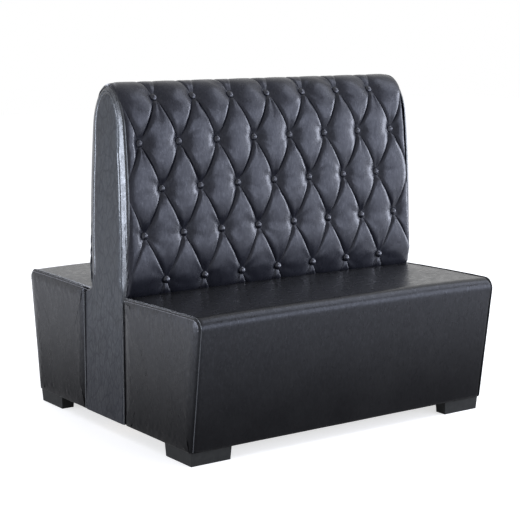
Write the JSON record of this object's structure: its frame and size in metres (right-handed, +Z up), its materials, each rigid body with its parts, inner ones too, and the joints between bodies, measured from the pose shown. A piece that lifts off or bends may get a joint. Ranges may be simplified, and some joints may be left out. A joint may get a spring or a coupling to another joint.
{
  "type": "double booth seat",
  "caption": "Upholstered double booth: two bench seats back to back, sharing one deep-buttoned back, on L-shaped corner feet.",
  "frame": {"origin": "on the floor, under the middle of the booth", "axes": "+X along the seats, +Z up, the front seat faces -Y"},
  "size_m": [1.2, 1.096, 1.1393],
  "materials": {
    "upholstery": "smooth semi-gloss black upholstery with a blue cast",
    "foot": "matt charcoal",
    "timber": "sawn pine",
    "plywood": "plywood",
    "foam": "polyurethane foam",
    "deck_cloth": "jute deck cloth",
    "dust_cloth": "black non-woven dust cloth",
    "twine": "waxed twine",
    "spring_steel": "oil-hardened wire",
    "zinc": "zinc-plated"
  },
  "bodies": {
    "root": {"back_centre_post": "timber", "back_end_cover_left": "upholstery", "back_end_cover_right": "upholstery", "back_end_padding_left": "foam", "back_end_padding_right": "foam", "back_facing_front": "plywood", "back_facing_rear": "plywood", "back_floor_plate": "timber", "back_foam_front": "foam", "back_foam_rear": "foam", "back_gable_left": "timber", "back_gable_right": "timber", "back_lumbar_rail": "timber", "back_seat_rail_front": "timber", "back_seat_rail_rear": "timber", "back_top_rail": "timber", "button_twine": "twine", "buttons_front": "upholstery", "buttons_rear": "upholstery", "coach_screws": "zinc", "corner_blocks": "timber", "dust_cover_front": "dust_cloth", "dust_cover_rear": "dust_cloth", "foot_front_left": "foot", "foot_front_right": "foot", "foot_rear_left": "foot", "foot_rear_right": "foot", "foot_screws": "zinc", "seat_cover_front": "upholstery", "seat_cover_rear": "upholstery", "seat_deck_cloth_front": "deck_cloth", "seat_deck_cloth_rear": "deck_cloth", "seat_divider_front": "timber", "seat_divider_rear": "timber", "seat_end_board_front_left": "timber", "seat_end_board_front_right": "timber", "seat_end_board_rear_left": "timber", "seat_end_board_rear_right": "timber", "seat_end_cover_front_left": "upholstery", "seat_end_cover_front_right": "upholstery", "seat_end_cover_rear_left": "upholstery", "seat_end_cover_rear_right": "upholstery", "seat_end_padding_front_left": "foam", "seat_end_padding_front_right": "foam", "seat_end_padding_rear_left": "foam", "seat_end_padding_rear_right": "foam", "seat_foam_front": "foam", "seat_foam_rear": "foam", "seat_front_board_front": "plywood", "seat_front_board_rear": "plywood", "seat_front_padding_front": "foam", "seat_front_padding_rear": "foam", "seat_rear_board_front": "timber", "seat_rear_board_rear": "timber", "seat_springs_front": "spring_steel", "seat_springs_rear": "spring_steel", "spring_clips": "zinc", "tufted_cover_front": "upholstery", "tufted_cover_rear": "upholstery"}
  },
  "joints": []
}
